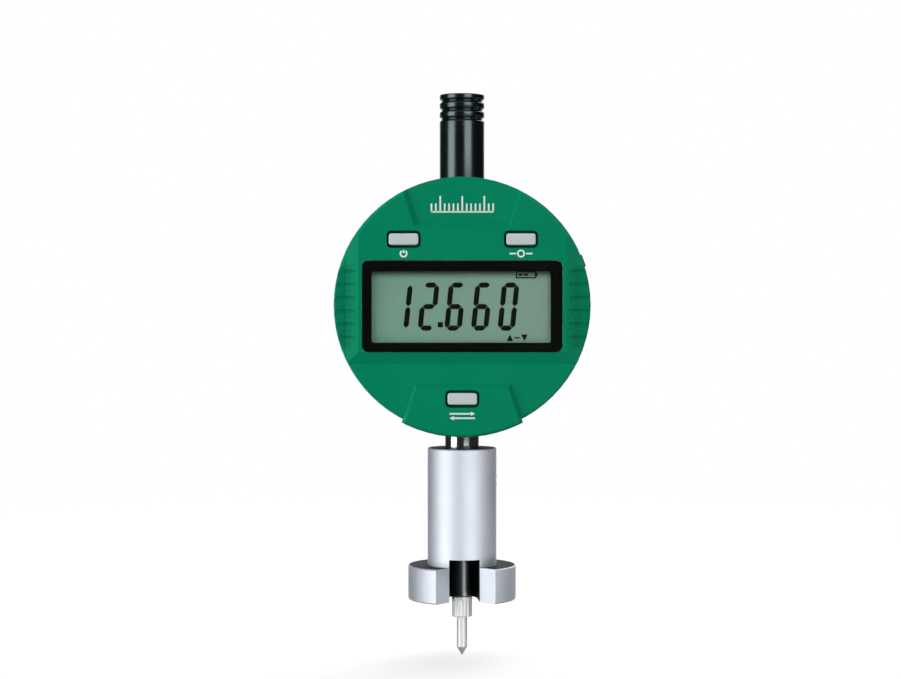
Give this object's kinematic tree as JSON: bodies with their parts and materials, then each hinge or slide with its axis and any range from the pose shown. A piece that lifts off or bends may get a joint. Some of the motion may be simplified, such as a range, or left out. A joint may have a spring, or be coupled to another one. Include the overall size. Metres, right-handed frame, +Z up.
{
  "type": "surface profile gauge",
  "caption": "Digital indicator in a round case with a needle contact, standing on a slotted, notched foot to measure a surface's profile depth.",
  "frame": {"origin": "the needle's tip at rest, on the spindle's axis", "axes": "+Z up along the spindle; the display faces -Y; +X is right as the display is read"},
  "size_m": [0.0596, 0.0253, 0.1303],
  "materials": {
    "green_shell": "moulded, satin",
    "black_plastic": "satin",
    "dark_plastic": "matte",
    "black_anodised": "black anodised, semi-gloss",
    "clear_window": "clear",
    "black_ink": "printed",
    "display_glass": "display",
    "grey_button": "satin",
    "base_steel": "satin ground",
    "polished_steel": "polished",
    "bush_brass": "turned",
    "cast_alloy": "cast",
    "circuit_board": "solder mask",
    "scale_glass": "plated",
    "black_rubber": "matte",
    "grey_rubber": "matte",
    "nickel_steel": "plated"
  },
  "bodies": {
    "indicator": {"front_case": "green_shell", "window_lens": "clear_window", "window_mask": "black_ink", "lcd_panel": "display_glass", "lcd_holder": "dark_plastic", "zebra_strip_upper": "grey_rubber", "zebra_strip_lower": "grey_rubber", "main_board": "circuit_board", "controller_chip": "black_plastic", "link_connector": "black_plastic", "switch_left": "nickel_steel", "switch_right": "nickel_steel", "switch_lower": "nickel_steel", "board_screw_1": "nickel_steel", "board_screw_2": "nickel_steel", "board_screw_3": "nickel_steel", "inner_frame": "cast_alloy", "frame_screw_1": "nickel_steel", "frame_screw_2": "nickel_steel", "frame_screw_3": "nickel_steel", "frame_screw_4": "nickel_steel", "sensor_board": "circuit_board", "sensor_screw_1": "nickel_steel", "sensor_screw_2": "nickel_steel", "stem_sleeve": "polished_steel", "lower_bush": "bush_brass", "upper_bush": "bush_brass", "guide_rod": "polished_steel", "stop_bumper": "black_rubber", "return_spring": "polished_steel", "battery_holder": "dark_plastic", "battery": "nickel_steel", "battery_contact_minus": "nickel_steel", "battery_contact_plus": "nickel_steel", "cover_gasket": "black_rubber", "rear_cover": "black_plastic", "cover_screw_1": "nickel_steel", "cover_screw_2": "nickel_steel", "cover_screw_3": "nickel_steel", "cover_screw_4": "nickel_steel", "data_connector": "black_plastic"},
    "spindle": {"spindle": "polished_steel", "contact_point": "polished_steel", "scale_carrier": "cast_alloy", "carrier_screw": "nickel_steel", "scale_strip": "scale_glass"},
    "button_left": {"button_left": "grey_button"},
    "button_right": {"button_right": "grey_button"},
    "button_lower": {"button_lower": "grey_button"},
    "battery_cover": {"battery_cover": "black_plastic", "battery_seal": "black_rubber"},
    "data_port_cover": {"data_port_cover": "grey_rubber"},
    "dust_cap": {"dust_cap": "black_anodised"},
    "base": {"base": "base_steel", "grub_screw": "nickel_steel"}
  },
  "joints": [
    {"name": "spindle_slide", "type": "slide", "parent": "indicator", "child": "spindle", "axis": [0, 0, 1], "range_m": [0, 0.0132], "stiffness_N_per_m": 15, "springref_m": -0.02, "deforming": ["return_spring"]},
    {"name": "button_left_press", "type": "slide", "parent": "indicator", "child": "button_left", "axis": [0, 1, 0], "range_m": [0, 0.0005], "stiffness_N_per_m": 300, "springref_m": -0.001},
    {"name": "button_right_press", "type": "slide", "parent": "indicator", "child": "button_right", "axis": [0, 1, 0], "range_m": [0, 0.0005], "stiffness_N_per_m": 300, "springref_m": -0.001},
    {"name": "button_lower_press", "type": "slide", "parent": "indicator", "child": "button_lower", "axis": [0, 1, 0], "range_m": [0, 0.0005], "stiffness_N_per_m": 300, "springref_m": -0.001},
    {"name": "battery_cover_turn", "type": "hinge", "parent": "indicator", "child": "battery_cover", "pos_m": [0.016, 0.0125, 0.0813], "axis": [0, 1, 0], "range_deg": [0, 45]},
    {"name": "data_port_cover_pull", "type": "slide", "parent": "indicator", "child": "data_port_cover", "axis": [0.9379, 0, 0.3469], "range_m": [0, 0.01]},
    {"name": "dust_cap_lift", "type": "slide", "parent": "indicator", "child": "dust_cap", "axis": [0, 0, 1], "range_m": [0, 0.02]},
    {"name": "base_swivel", "type": "hinge", "parent": "indicator", "child": "base", "pos_m": [0, 0, 0.0406], "axis": [0, 0, 1], "continuous": true}
  ]
}
